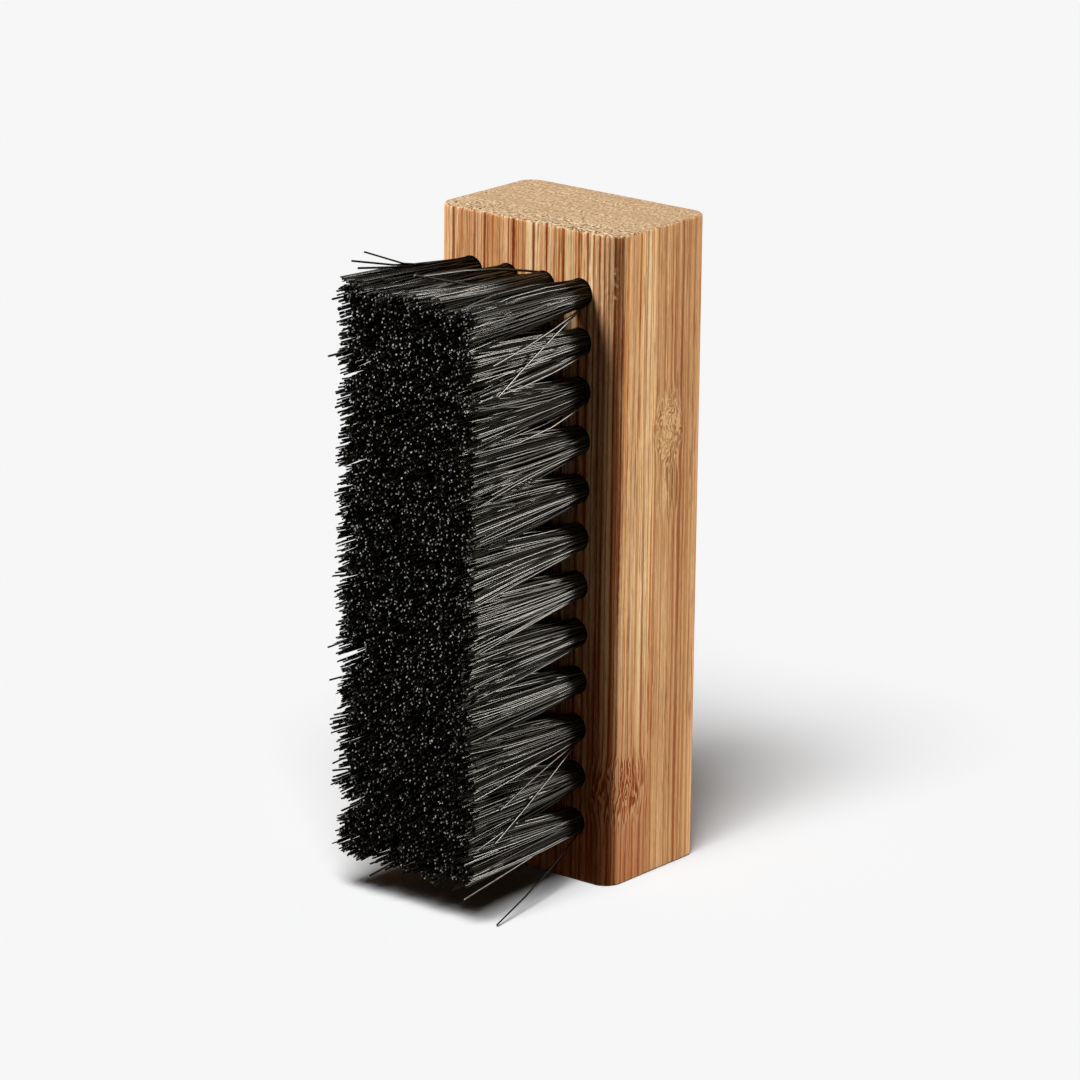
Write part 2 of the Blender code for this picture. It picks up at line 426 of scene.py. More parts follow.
# %% Group for the bundles that stand out
ROUND_LOW, ROUND_HIGH = -21.0, 48.0
BUNDLES_A_RAMP = 7
BUNDLE_SWAY, BUNDLE_GRIT = 0.8, 0.25
BUNDLE_CORE = 0.6
BUNDLES = [
    (-16.6, 0.26, 0.9), (-13.6, 0.17, 0.55), (-11.8, 0.29, 0.95), (-9.3, 0.26, 0.9), (-8.5, 0.16, 0.55),
    (-5.9, 0.21, 0.7), (-2.8, 0.34, 1.0), (-0.7, 0.21, 0.6), (1.7, 0.34, 1.0), (3.4, 0.18, 0.5),
    (4.7, 0.36, 1.0), (6.5, 0.23, 0.8), (8.4, 0.36, 1.0), (10.3, 0.16, 0.5), (12.1, 0.36, 1.0),
    (13.9, 0.31, 0.9), (15.4, 0.25, 0.85), (16.7, 0.29, 1.0), (17.8, 0.34, 1.0), (18.9, 0.25, 0.85),
    (20.4, 0.4, 0.95), (21.3, 0.28, 0.9), (22.3, 0.4, 1.0), (24.0, 0.26, 0.75), (25.4, 0.26, 0.7),
    (27.2, 0.18, 0.5), (29.3, 0.29, 0.7), (30.4, 0.18, 0.5), (32.5, 0.26, 0.6), (34.4, 0.23, 0.5),
    (36.5, 0.26, 0.45), (38.0, 0.34, 0.6), (39.4, 0.44, 0.85), (41.6, 0.26, 0.5), (42.9, 0.34, 0.55),
    (44.9, 0.26, 0.55),
]
# Broad dark bands: those at 17.9 and 21.2 mm are painted shade beside the tufts and round the front corner,
# the others broad tone.
WIDE_BANDS_AND_SHADE = [
    (-11.0, 1.2, 0.12), (7.0, 4.0, 0.13), (17.9, 1.9, 0.12), (21.2, 1.5, 0.3), (26.0, 1.6, 0.15),
    (39.6, 1.3, 0.25),
]


def bundle_ramp(tree, share, bundles):
    """Darkness of a few bundles or broad bands given as (distance round the block, half width, darkness) in
    mm.
    """
    span = ROUND_HIGH - ROUND_LOW
    ramp = add_node(tree, "ShaderNodeValToRGB", {0: share})
    stops = ramp.color_ramp.elements
    stops[0].color = (0, 0, 0, 1)
    stops[1].color = (0, 0, 0, 1)
    for centre, half, darkness in bundles:
        core = BUNDLE_CORE * half
        for offset, value in ((-half, 0.0), (-core, darkness), (core, darkness), (half, 0.0)):
            stops.new((centre + offset - ROUND_LOW) / span).color = (value, value, value, 1)
    return ramp.outputs[0]


def make_chosen_bundles():
    """The bundles that the eye picks out and broad bands, partly painted shade, by their distance round the
    block from its face's middle.
    """
    tree, given, results = begin_group("chosen bundles", {"Place": (0.0, 0.0, 0.0)}, ["Lines", "Wide And Shade"])
    parts = parts_of(tree, given["Place"])
    around = minus(tree, plus(tree, parts["X"], parts["Y"]), BLOCK_LOW.y)
    sway = minus(tree, noise_at(tree, given["Place"], (0.6, 0.6, 0.03)), 0.5)
    around = plus(tree, around, times(tree, sway, BUNDLE_SWAY))
    grit = minus(tree, noise_at(tree, given["Place"], (3.0, 3.0, 0.9)), 0.5)
    around = plus(tree, around, times(tree, grit, BUNDLE_GRIT))
    inputs = {"Value": around, "From Min": ROUND_LOW, "From Max": ROUND_HIGH}
    share = add_node(tree, "ShaderNodeMapRange", inputs).outputs[0]
    lines = bundle_ramp(tree, share, BUNDLES[:BUNDLES_A_RAMP])
    for first in range(BUNDLES_A_RAMP, len(BUNDLES), BUNDLES_A_RAMP):
        more = bundle_ramp(tree, share, BUNDLES[first:first + BUNDLES_A_RAMP])
        lines = sums(tree, "MAXIMUM", lines, more)
    fading = step_between(tree, noise_at(tree, given["Place"], (1.2, 1.2, 0.05)), 0.3, 0.55, 0.6, 1.0)
    lines = times(tree, lines, fading)
    return end_group(tree, results, {"Lines": lines, "Wide And Shade": bundle_ramp(tree, share, WIDE_BANDS_AND_SHADE)})


chosen_bundles = make_chosen_bundles()
print("group", chosen_bundles.name, "with", len(BUNDLES), "bundles")

# %% [markdown]
# ## Bamboo: end grain
# On the sawn ends the bundles are fine brown dots in a pale, faintly shining ground. They crowd
# together towards what was the outside of the stem, in bands parallel to the wide face. Cells of
# Voronoi noise give dots that never touch, and a slow noise across the boards crowds them.

# %% Group for end grain
DOT_SMALLEST, DOT_GROWTH, DOT_SOFT = 0.17, 0.2, 0.12


def make_end_grain():
    """Dark bundle ends, the pale cells between them, and slow bands, on the sawn ends."""
    inputs = {"Place": (0.0, 0.0, 0.0), "Dot Spacing": 0.5, "Dense At": -13.2, "Depth": 9.0, "Seed": 0.0}
    tree, given, results = begin_group("end grain", inputs, ["Dots", "Cells", "Bands"])
    flat = vector_sums(tree, "MULTIPLY", given["Place"], (1.0, 1.0, 0.0))
    seed = vector_of(tree, given["Seed"], given["Seed"])
    moved = vector_sums(tree, "ADD", flat, vector_sums(tree, "MULTIPLY", seed, (13.1, 41.7, 0.0)))
    rate = sums(tree, "DIVIDE", 1.0, given["Dot Spacing"])
    scale = vector_of(tree, times(tree, rate, 0.8), times(tree, rate, 0.6))
    scaled = vector_sums(tree, "MULTIPLY", moved, scale)
    cells = add_node(tree, "ShaderNodeTexVoronoi", {"Vector": scaled, "Scale": 1.0, "Randomness": 0.7})
    bands = noise_at(tree, moved, (0.03, 0.5, 0.0), 2.0, 0.6)
    depth = parts_of(tree, flat)["Y"]
    deep_end = plus(tree, given["Dense At"], given["Depth"])
    density = step_between(tree, depth, given["Dense At"], deep_end, 1.0, 0.5)
    density = times(tree, density, step_between(tree, bands, 0.3, 0.65, 0.55, 1.15), clamp=True)
    size = plus(tree, times(tree, density, DOT_GROWTH), DOT_SMALLEST)
    dots = step_between(tree, cells.outputs["Distance"], size, plus(tree, size, DOT_SOFT), 1.0, 0.0)
    dots = times(tree, dots, density)
    pale = times(tree, noise_mask(tree, moved, (2.2, 1.3, 0.0), 1.5, 0.5, 0.46, 0.58), density)
    return end_group(tree, results, {"Dots": dots, "Cells": pale, "Bands": bands})


end_grain = make_end_grain()
print("group", end_grain.name)

# %% [markdown]
# ## Bamboo: knuckles
# Where a stem has a joint, the fibres part and swirl round it. On the brush one such knuckle lies
# halfway up the long side face, with dark streaks under it, and a redder one wraps the front corner
# near the foot. Each bends the place at which the fibre lines are read, pushed apart round its
# middle, and adds curls: the sine of a stirred noise gives the closed ripples of the real grain,
# which lines of noise alone would not.

# %% Group for knuckles


def make_knuckle():
    """How far a knuckle pushes the fibres sideways, how strong it is here, and its curls."""
    inputs = {
        "Place": (0.0, 0.0, 0.0),
        "Centre": (0.0, 0.0, 0.0),
        "Reach": (4.0, 4.0, 10.0),
        "Push": 1.5,
        "Stir": 8.0,
        "Stretch": 0.16,
        "Ripples": 60.0,
    }
    tree, given, results = begin_group("knuckle", inputs, ["Shift", "Mask", "Curls", "Glow"])
    away = vector_sums(tree, "SUBTRACT", given["Place"], given["Centre"])
    scaled = vector_sums(tree, "DIVIDE", away, given["Reach"])
    distance = add_node(tree, "ShaderNodeVectorMath", {0: scaled}, operation="LENGTH").outputs["Value"]
    mask = step_between(tree, distance, 0.0, 1.0, 1.0, 0.0)
    parts = parts_of(tree, scaled)
    sideways = plus(tree, parts["X"], parts["Y"])
    push = times(tree, times(tree, sideways, given["Push"]), mask)
    slow_place = vector_sums(tree, "MULTIPLY", given["Place"], (0.34, 0.34, 0.2))
    inputs = {"Vector": slow_place, "Scale": 1.0, "Detail": 2.0}
    swirl = add_node(tree, "ShaderNodeTexNoise", inputs).outputs["Color"]
    swirl = vector_sums(tree, "SUBTRACT", swirl, (0.5, 0.5, 0.5))
    amount = times(tree, given["Stir"], mask)
    swirl = vector_sums(tree, "MULTIPLY", swirl, (1.0, 1.0, 1.6))
    swirl = scaled_by(tree, swirl, amount)
    stirred = vector_sums(tree, "ADD", given["Place"], swirl)
    scale = vector_of(tree, 0.5, 0.5, given["Stretch"])
    level = times(tree, noise_at(tree, stirred, scale, 1.5, 0.6), given["Ripples"])
    ripples = sums(tree, "SINE", level)
    core = step_between(tree, mask, 0.04, 0.35)
    strokes = times(tree, step_between(tree, ripples, 0.35, 0.85), core)
    glow = times(tree, step_between(tree, ripples, -0.8, -0.3, 1.0, 0.0), core)
    shift = minus(tree, times(tree, parts_of(tree, swirl)["X"], 0.6), push)
    return end_group(tree, results, {"Shift": shift, "Mask": mask, "Curls": strokes, "Glow": glow})


knuckle = make_knuckle()
print("group", knuckle.name)

# %% [markdown]
# ## Bamboo: worn edges
# The long edges are rounded and sanded, which leaves them a little paler and rougher, and the
# sawn ends have a narrow bright arris, partly where fibre ends were lightly torn and partly a painted
# highlight where the rounded arris meets the light. The group finds both from the block's own size,
# so the same wear runs over every board.

# %% Group for worn edges
EDGE_RADIUS = 3.4
END_ROUND = 0.45
END_RAGGED = 1.2


def make_worn_edges():
    """Masks of the rounded long edges and of the arris round both ends."""
    inputs = {
        "Place": (0.0, 0.0, 0.0),
        "Half Width": BLOCK_HIGH.x,
        "Half Depth": BLOCK_HIGH.y,
        "Height": BLOCK_HIGH.z,
        "Radius": EDGE_RADIUS,
        "End Round": END_ROUND,
    }
    tree, given, results = begin_group("worn edges", inputs, ["Long Edges", "End Edges", "End Gaps"])
    parts = parts_of(tree, given["Place"])
    past_side = minus(tree, sums(tree, "ABSOLUTE", parts["X"]), given["Half Width"])
    past_face = minus(tree, sums(tree, "ABSOLUTE", parts["Y"]), given["Half Depth"])
    past_both = plus(tree, sums(tree, "MINIMUM", past_side, past_face), given["Radius"])
    grit = noise_at(tree, given["Place"], (1.9, 1.9, 0.35), 3.0, 0.65)
    rounding = step_between(tree, past_both, 0.0, given["Radius"])
    long_edges = times(tree, rounding, step_between(tree, grit, 0.42, 0.66))
    from_end = sums(tree, "MINIMUM", parts["Z"], minus(tree, given["Height"], parts["Z"]))
    ragged = plus(tree, from_end, times(tree, minus(tree, grit, 0.5), END_RAGGED))
    end_edges = step_between(tree, ragged, 0.0, given["End Round"], 1.0, 0.0)
    gaps = noise_mask(tree, given["Place"], (3.0, 3.0, 0.5), 1.0, 0.5, 0.5, 0.58)
    found = {"Long Edges": long_edges, "End Edges": end_edges, "End Gaps": times(tree, gaps, end_edges)}
    return end_group(tree, results, found)


worn_edges = make_worn_edges()
print("group", worn_edges.name)

# %% [markdown]
# ## The eight bamboo finishes
# Each board was sawn from another stem, so each has its own tone and its own lines. They all use the
# groups above, with their own values: the right-hand front board has the strongest red-brown
# lines, the left-hand one finer and pinker ones, and the boards behind are calmer.
# The sawn ends are told from the sides by the direction that the surface faces. Light that bounces
# off a board sees a darker and greyer brown, or the wood would throw more of its colour on the
# filament than it does in the photograph.

# %% Bamboo finishes
CALM = {
    "pale": (228, 180, 128),
    "deep": (184, 124, 70),
    "line": (146, 78, 32),
    "thread": (178, 112, 56),
    "dash": (132, 70, 32),
    "spacing": 1.4,
    "width": 0.13,
    "line_strength": 0.6,
    "thread_strength": 0.5,
    "dash_strength": 0.6,
    "chosen_strength": 0.0,
    "foot_tint": 0.0,
    "flakes": 0.0,
    "dense_at": -7.0,
}
FINISHES = {
    "front_strip_1": {
        "seed": 2.0, "pale": (250, 204, 152), "deep": (208, 142, 82),
        "line": (126, 47, 10), "thread": (180, 92, 40), "spacing": 0.85, "width": 0.11,
        "line_strength": 0.85, "thread_strength": 0.7, "dash_strength": 0.4,
        "chosen_strength": 1.0, "dense_at": -13.2,
    },
    "front_strip_2": {
        "seed": 3.0, "pale": (255, 227, 176), "deep": (236, 172, 108),
        "line": (134, 54, 14), "thread": (180, 94, 38), "spacing": 0.9, "width": 0.11,
        "line_strength": 0.85, "thread_strength": 0.7, "dash_strength": 0.6,
        "chosen_strength": 1.0, "foot_tint": 0.7, "flakes": 0.7, "dense_at": -13.2,
    },
    "middle_strip_1": {"seed": 4.0},
    "middle_strip_2": {"seed": 5.0, "pale": (222, 176, 122)},
    "middle_strip_3": {
        "seed": 6.0, "pale": (238, 195, 148), "deep": (198, 144, 92),
        "line": (146, 74, 26), "line_strength": 0.75, "chosen_strength": 1.0,
    },
    "back_strip_1": {"seed": 7.0, "pale": (222, 170, 112), "dense_at": 1.0},
    "back_strip_2": {"seed": 8.0, "dense_at": 1.0},
    "back_strip_3": {
        "seed": 9.0, "pale": (232, 187, 138), "deep": (190, 136, 86),
        "line": (144, 72, 24), "line_strength": 0.75, "chosen_strength": 1.0, "dense_at": 1.0,
    },
}
SIDE_KNUCKLE = {
    "Centre": (20.6, 2.0, 82.5), "Reach": (8.0, 5.6, 10.0), "Push": 2.0,
    "Stir": 6.0, "Stretch": 0.25, "Ripples": 44.0,
}
SIDE_STREAKS = {
    "Centre": (20.6, 2.2, 71.5), "Reach": (8.0, 4.6, 8.0), "Push": 1.4,
    "Stir": 1.0, "Stretch": 0.02, "Ripples": 40.0,
}
FOOT_KNUCKLE = {
    "Centre": (20.0, -9.4, 17.5), "Reach": (7.5, 8.5, 9.0), "Push": 2.0,
    "Stir": 3.0, "Stretch": 0.05, "Ripples": 60.0,
}
FOOT_STAIN = (158, 80, 36)
FOOT_TINT = (168, 88, 40)
FOOT_TINT_TOP = 56.0
PALE_ARRIS = (252, 220, 170)
PALE_CURL = (240, 200, 146)
DARK_GAP = (100, 40, 12)
print(len(FINISHES), "bamboo finishes")

# %% Flakes torn from the front corner
FLAKES_AT, FLAKES_HALF = 19.5, 0.5
FLAKES_FROM, FLAKES_TO = 108.4, 114.6


def torn_flakes(tree, place):
    """Pale torn fibres in a short row near the top of the front corner."""
    parts = parts_of(tree, place)
    beside = sums(tree, "ABSOLUTE", minus(tree, parts["X"], FLAKES_AT))
    row = step_between(tree, beside, FLAKES_HALF * 0.5, FLAKES_HALF, 1.0, 0.0)
    middle, half = (FLAKES_FROM + FLAKES_TO) / 2, (FLAKES_TO - FLAKES_FROM) / 2
    above = sums(tree, "ABSOLUTE", minus(tree, parts["Z"], middle))
    row = times(tree, row, step_between(tree, above, half * 0.75, half, 1.0, 0.0))
    return times(tree, row, noise_mask(tree, place, (2.6, 2.6, 1.1), 2.0, 0.6, 0.5, 0.58))


print("flakes from", FLAKES_FROM, "to", FLAKES_TO, "mm up")

# %% Colour of the long faces
FINE_TONE, BROAD_TONE = 0.6, 0.4
HAIR_DARKEST, HAIR_PALEST = 0.8, 1.12
LONG_WEAR, END_WEAR_AND_HIGHLIGHT, END_GAPS = 0.2, 0.8, 0.9
SIDE_PATCH, SIDE_CURLS, SIDE_STROKES, SIDE_GLOW = 0.45, 0.6, 0.65, 0.6
STAIN, FOOT_CURLS, FOOT_GLOW = 0.6, 0.9, 0.45
HAIR_HEIGHT, LINE_DEPTH, DASH_DEPTH, CURL_DEPTH = 0.9, 0.3, 0.9, 1.4


def fibre_side(tree, place, wear, look):
    """Colour of the long faces, the height of their relief, and the finest hairs."""
    side = use_group(tree, knuckle, {"Place": place, **SIDE_KNUCKLE})
    streaks = use_group(tree, knuckle, {"Place": place, **SIDE_STREAKS})
    foot = use_group(tree, knuckle, {"Place": place, **FOOT_KNUCKLE})
    shift = plus(tree, plus(tree, side["Shift"], foot["Shift"]), streaks["Shift"])
    bent = vector_sums(tree, "ADD", place, vector_of(tree, shift, shift))
    fibres = use_group(tree, fibre_lines, {
        "Place": bent, "Spacing": look["spacing"], "Width": look["width"], "Seed": look["seed"],
    })
    fine, broad = times(tree, fibres["Tone"], FINE_TONE), times(tree, fibres["Bands"], BROAD_TONE)
    colour = mix_colours(tree, plus(tree, fine, broad), paint(*look["deep"]), paint(*look["pale"]))
    threads = times(tree, fibres["Threads"], look["thread_strength"])
    if look["foot_tint"]:
        tint = step_between(tree, parts_of(tree, place)["Z"], 0.0, FOOT_TINT_TOP, look["foot_tint"], 0.0)
        colour = mix_colours(tree, tint, colour, paint(*FOOT_TINT))
        threads = plus(tree, threads, times(tree, fibres["Threads"], tint), clamp=True)
    patch = sums(tree, "MAXIMUM", side["Mask"], streaks["Mask"])
    colour = laid_over(tree, colour, patch, SIDE_PATCH, PALE_CURL)
    colour = laid_over(tree, colour, foot["Mask"], STAIN, FOOT_STAIN)
    hair_tone = step_between(tree, fibres["Hairs"], 0.32, 0.68, HAIR_DARKEST, HAIR_PALEST)
    hair_greys = {0: hair_tone, 1: hair_tone, 2: hair_tone}
    hair_colour = add_node(tree, "ShaderNodeCombineColor", hair_greys).outputs[0]
    colour = mix_colours(tree, 1.0, colour, hair_colour, "MULTIPLY")
    colour = laid_over(tree, colour, wear["Long Edges"], LONG_WEAR, PALE_ARRIS)
    # Pale end arris: partly wear, partly a painted highlight of the rounded edge.
    colour = laid_over(tree, colour, wear["End Edges"], END_WEAR_AND_HIGHLIGHT, PALE_ARRIS)
    colour = mix_colours(tree, threads, colour, paint(*look["thread"]))
    dashes = times(tree, fibres["Dashes"], look["dash_strength"])
    colour = mix_colours(tree, dashes, colour, paint(*look["dash"]))
    lines = times(tree, fibres["Lines"], look["line_strength"])
    if look["chosen_strength"]:
        chosen = use_group(tree, chosen_bundles, {"Place": bent})
        # Broad bands, partly painted shade beside the tufts and round the front corner.
        colour = mix_colours(tree, chosen["Wide And Shade"], colour, paint(*look["line"]))
        strong = times(tree, chosen["Lines"], look["chosen_strength"])
        lines = sums(tree, "MAXIMUM", lines, strong)
    colour = mix_colours(tree, lines, colour, paint(*look["line"]))
    colour = laid_over(tree, colour, wear["End Gaps"], END_GAPS, DARK_GAP)
    if look["flakes"]:
        colour = laid_over(tree, colour, torn_flakes(tree, place), look["flakes"], PALE_ARRIS)
    curls = plus(tree, times(tree, side["Curls"], SIDE_CURLS), streaks["Curls"], clamp=True)
    for mask, share, tone in (
        (curls, SIDE_STROKES, look["dash"]),
        (side["Glow"], SIDE_GLOW, PALE_CURL),
        (foot["Curls"], FOOT_CURLS, look["line"]),
        (foot["Glow"], FOOT_GLOW, PALE_CURL),
    ):
        colour = laid_over(tree, colour, mask, share, tone)
    low = plus(tree, times(tree, lines, LINE_DEPTH), times(tree, dashes, DASH_DEPTH))
    low = plus(tree, low, times(tree, plus(tree, curls, foot["Curls"]), CURL_DEPTH))
    height = minus(tree, times(tree, fibres["Hairs"], HAIR_HEIGHT), low)
    return colour, height, fibres["Hairs"]


print("tint near the foot up to", FOOT_TINT_TOP, "mm")

# %% Colour of the sawn ends
SAWN_PALE, SAWN_DEEP = (178, 148, 114), (160, 127, 92)
SAWN_DOT, SAWN_CELL = (70, 40, 22), (236, 214, 180)
CELL_SHARE, DOT_SHARE, CELL_HEIGHT = 0.75, 0.95, 0.4


def sawn_end(tree, place, look):
    """Colour of the end grain, with the height of its relief."""
    ends = use_group(tree, end_grain, {"Place": place, "Dense At": look["dense_at"], "Seed": look["seed"]})
    colour = mix_colours(tree, ends["Bands"], paint(*SAWN_DEEP), paint(*SAWN_PALE))
    colour = laid_over(tree, colour, ends["Cells"], CELL_SHARE, SAWN_CELL)
    colour = laid_over(tree, colour, ends["Dots"], DOT_SHARE, SAWN_DOT)
    return colour, minus(tree, times(tree, ends["Cells"], CELL_HEIGHT), ends["Dots"])


print("sawn ends from", SAWN_DEEP, "to", SAWN_PALE)

# %% Bamboo material
SAWN_FROM, SAWN_FULL = 0.6, 0.9
BOUNCE_TAKEN, BOUNCE_TONE = 0.75, (64, 54, 46)
SANDED, HAIRS_ROUGHER, WORN_ROUGHER, SAWN_ROUGHER = 0.42, 0.22, 0.12, 0.25
WOOD_GLOSS = 0.05
RELIEF, RELIEF_STRENGTH = 0.07 * MM, 0.6


def bamboo_material(board):
    """The finish of one board, built from the shared groups and its own values."""
    look = {**CALM, **FINISHES[board]}
    material, tree, shader = begin_material("bamboo_" + board)
    place = place_in_mm(tree)
    wear = use_group(tree, worn_edges, {"Place": place})
    along, along_height, hairs = fibre_side(tree, place, wear, look)
    across, across_height = sawn_end(tree, place, look)
    facing = parts_of(tree, add_node(tree, "ShaderNodeNewGeometry").outputs["Normal"])
    sawn = step_between(tree, sums(tree, "ABSOLUTE", facing["Z"]), SAWN_FROM, SAWN_FULL)
    colour = mix_colours(tree, sawn, along, across)
    bounced = add_node(tree, "ShaderNodeLightPath").outputs["Is Diffuse Ray"]
    colour = laid_over(tree, colour, bounced, BOUNCE_TAKEN, BOUNCE_TONE)
    tree.links.new(colour, shader.inputs["Base Color"])
    rough = plus(tree, times(tree, hairs, HAIRS_ROUGHER), SANDED)
    rough = plus(tree, rough, times(tree, wear["Long Edges"], WORN_ROUGHER))
    rough = plus(tree, rough, times(tree, sawn, SAWN_ROUGHER))
    tree.links.new(rough, shader.inputs["Roughness"])
    shader.inputs["Specular IOR Level"].default_value = WOOD_GLOSS
    height = times(tree, along_height, minus(tree, 1.0, sawn))
    height = plus(tree, height, times(tree, across_height, sawn))
    relief = {"Strength": RELIEF_STRENGTH, "Distance": RELIEF, "Height": height}
    tree.links.new(add_node(tree, "ShaderNodeBump", relief).outputs[0], shader.inputs["Normal"])
    return material


print("materials are made with their boards")

# %% [markdown]
# ## The boards
# Each board is a bar whose outer corners are rounded where it meets the block's own corners, and
# square where it is glued to its neighbour. The outline is walked once, with the outward direction
# kept at every outer point, and then lofted up the block. At both ends the outer points step
# inwards along an arc, which rounds the arris, and a slow noise keeps the sanded faces from being
# perfectly flat.

# %% Outline of a board
GLUE_TAKEN = 0.04
ALONG_STEP = 1.0
ARC_STEPS = 14
TOUCH = 0.01


def board_sides(board):
    """Low and high x and y of a board in mm, and whether each of those sides is an outer one."""
    low, high = corners_mm(board)
    sides = []
    for value, limit, sign in (
        (low.x, BLOCK_LOW.x, -1),
        (high.x, BLOCK_HIGH.x, 1),
        (low.y, BLOCK_LOW.y, -1),
        (high.y, BLOCK_HIGH.y, 1),
    ):
        outer = abs(value - limit) < TOUCH
        sides.append((value if outer else value + sign * GLUE_TAKEN, outer))
    return sides


def corner_points(x, y, sign_x, sign_y, outer_x, outer_y):
    """Points of one corner as (x, y, inward x, inward y): an arc on an outer corner, else one point."""
    if not (outer_x and outer_y):
        return [(x, y, -sign_x * outer_x, -sign_y * outer_y)]
    centre = (x - sign_x * EDGE_RADIUS, y - sign_y * EDGE_RADIUS)
    points = []
    for k in range(ARC_STEPS + 1):
        turn = k / ARC_STEPS * math.pi / 2
        if sign_x * sign_y < 0:
            turn = math.pi / 2 - turn
        out_x, out_y = sign_x * math.cos(turn), sign_y * math.sin(turn)
        points.append((centre[0] + EDGE_RADIUS * out_x, centre[1] + EDGE_RADIUS * out_y, -out_x, -out_y))
    return points


def board_outline(board):
    """The whole outline, counterclockwise from above, with runs split into short steps."""
    (x0, out_x0), (x1, out_x1), (y0, out_y0), (y1, out_y1) = board_sides(board)
    corners = [
        corner_points(x1, y0, 1, -1, out_x1, out_y0),
        corner_points(x1, y1, 1, 1, out_x1, out_y1),
        corner_points(x0, y1, -1, 1, out_x0, out_y1),
        corner_points(x0, y0, -1, -1, out_x0, out_y0),
    ]
    inward = [(-out_x1, 0), (0, -out_y1), (out_x0, 0), (0, out_y0)]
    outline = []
    for corner, following, (in_x, in_y) in zip(corners, corners[1:] + corners[:1], inward):
        outline += corner
        start, end = Vector(corner[-1][:2]), Vector(following[0][:2])
        steps = max(1, round((end - start).length / ALONG_STEP))
        for k in range(1, steps):
            point = start.lerp(end, k / steps)
            outline.append((point.x, point.y, in_x, in_y))
    return outline


print("outline of front_strip_2:", len(board_outline("front_strip_2")), "points")

# %% Loft a board
END_ARC_STEPS = 4
LEVEL_STEP = 1.5
CHIPPED = (104.0, 115.0)
CHIPPED_STEP = 0.35
CHIP_AT, CHIP_SPREAD, CHIP_DEPTH = (18.6, 109.5), (0.9, 2.6), 0.22
CHIPS_BEFORE_Y = -10
WAVE = 0.035
NIBBLE = 0.10


def board_levels(board):
    """Heights of the rings in mm with how far each is drawn in at the rounded ends."""
    height = BLOCK_HIGH.z
    levels = []
    for k in range(END_ARC_STEPS + 1):
        turn = k / END_ARC_STEPS * math.pi / 2
        levels.append((END_ROUND * (1 - math.cos(turn)), END_ROUND * (1 - math.sin(turn))))
    z = END_ROUND
    while z < height - END_ROUND - LEVEL_STEP:
        z += CHIPPED_STEP if board == "front_strip_2" and CHIPPED[0] < z < CHIPPED[1] else LEVEL_STEP
        levels.append((min(z, height - END_ROUND), 0.0))
    levels += [(height - up, drawn) for up, drawn in reversed(levels[: END_ARC_STEPS + 1])]
    return levels


def solid_noise(x, y, z, across, along):
    """Smooth noise between -1 and 1, with its rates per mm across and along the boards."""
    return smooth_noise.noise(Vector((x * across, y * across, z * along)))


def chip_depth(x, y, z):
    """Depth in mm of the small torn flakes on the front corner near the top."""
    near_corner = math.exp(-(((x - CHIP_AT[0]) / CHIP_SPREAD[0]) ** 2)) * (y < CHIPS_BEFORE_Y)
    along = math.exp(-(((z - CHIP_AT[1]) / CHIP_SPREAD[1]) ** 2))
    grit = solid_noise(x, y, z, 1.4, 0.9)
    return CHIP_DEPTH * near_corner * along * max(0.0, grit + 0.15)


def surface_shift(x, y, z, at_end):
    """How far an outer point lies inside the true face: sanding waves, nibbled ends and chips."""
    wave = solid_noise(x, y, z, 0.12, 0.05)
    fine = solid_noise(x, y, z, 0.7, 0.06)
    shift = WAVE * (0.5 + 0.35 * wave + 0.15 * fine)
    if at_end:
        shift += NIBBLE * max(0.0, solid_noise(x, y, z, 1.9, 0.4))
    return shift + chip_depth(x, y, z)


def loft_board(board):
    """The board as a closed mesh in metres."""
    outline = board_outline(board)
    count = len(outline)
    verts, faces = [], []
    levels = board_levels(board)
    for z, drawn in levels:
        at_end = z < 2 * END_ROUND or z > BLOCK_HIGH.z - 2 * END_ROUND
        for x, y, in_x, in_y in outline:
            inset = (drawn + surface_shift(x, y, z, at_end)) if (in_x or in_y) else 0.0
            verts.append(((x + in_x * inset) * MM, (y + in_y * inset) * MM, z * MM))
    for level in range(len(levels) - 1):
        base = level * count
        for k in range(count):
            after = (k + 1) % count
            faces.append((base + k, base + after, base + count + after, base + count + k))
    faces.append(tuple(reversed(range(count))))
    top = (len(levels) - 1) * count
    faces.append(tuple(top + k for k in range(count)))
    mesh = bpy.data.meshes.new("bamboo_" + board)
    mesh.from_pydata(verts, [], faces)
    return mesh


print("levels:", len(board_levels("front_strip_1")), "and", len(board_levels("front_strip_2")))

# %% [markdown]
# ## The holes
# The tufts sit in blind holes, twelve rows of four. The rows and columns follow the same few
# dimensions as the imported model. A drill mesh with one cylinder for each hole cuts each front board.

# %% Places of the holes and the drill
ROWS, COLUMNS = 12, 4
END_MARGIN, SIDE_MARGIN = 11.05, 8.2
HOLE_RADIUS, HOLE_DEPTH = 2.65, 9.0
DRILL_SIDES, DRILL_LEAD = 32, 3.0
BRISTLE_FACE = BLOCK_LOW.y
ROW_PITCH = (BLOCK_HIGH.z - 2 * END_MARGIN) / (ROWS - 1)
COLUMN_PITCH = (BLOCK_HIGH.x - BLOCK_LOW.x - 2 * SIDE_MARGIN) / (COLUMNS - 1)


def hole_centre(row, column):
    """Centre of a hole in mm, both numbered from 0: rows from the foot, columns from minus X."""
    return BLOCK_LOW.x + SIDE_MARGIN + column * COLUMN_PITCH, END_MARGIN + row * ROW_PITCH


